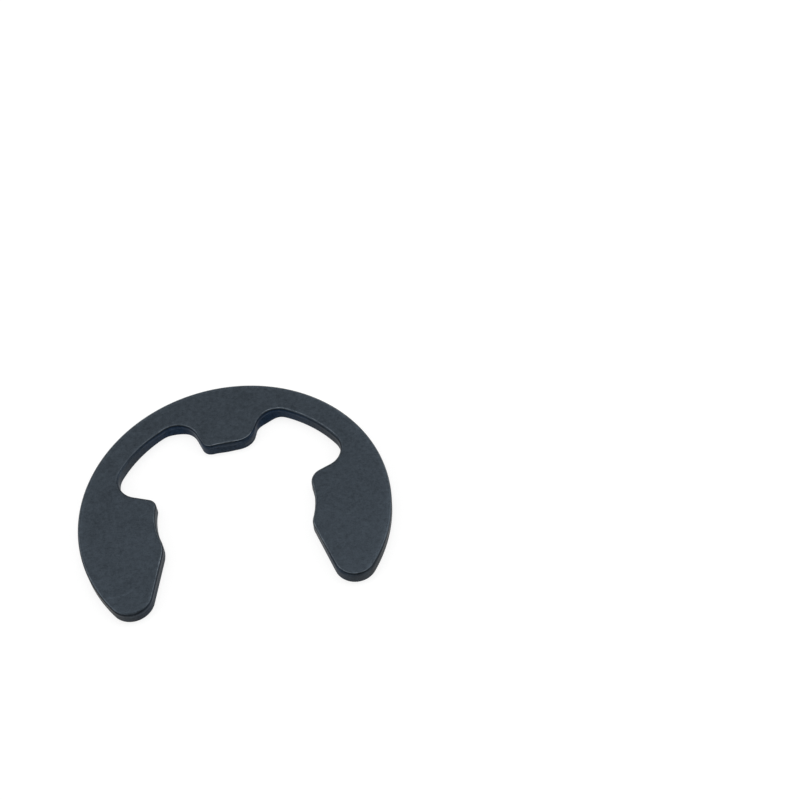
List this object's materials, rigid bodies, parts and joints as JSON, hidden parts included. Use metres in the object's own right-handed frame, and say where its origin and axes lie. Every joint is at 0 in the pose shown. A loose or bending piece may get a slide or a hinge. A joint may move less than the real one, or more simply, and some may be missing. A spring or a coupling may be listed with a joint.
{
  "type": "e clip retaining ring",
  "caption": "Flat E-shaped spring steel retaining ring with a centre lug, two side lugs and tapered prongs, open on one side.",
  "frame": {"origin": "the axis of the shaft that the clip grips, at the clip's lower face", "axes": "+Z along the shaft axis and up from the lower face to the face with the rolled edge, -Y the way the mouth opens, +Y towards the centre lug and the middle of the bow"},
  "size_m": [0.044, 0.0364, 0.002],
  "materials": {
    "blackened_steel": "satin blue-black phosphate and oil on stamped spring steel"
  },
  "bodies": {
    "root": {"e_clip": "blackened_steel"}
  },
  "joints": []
}
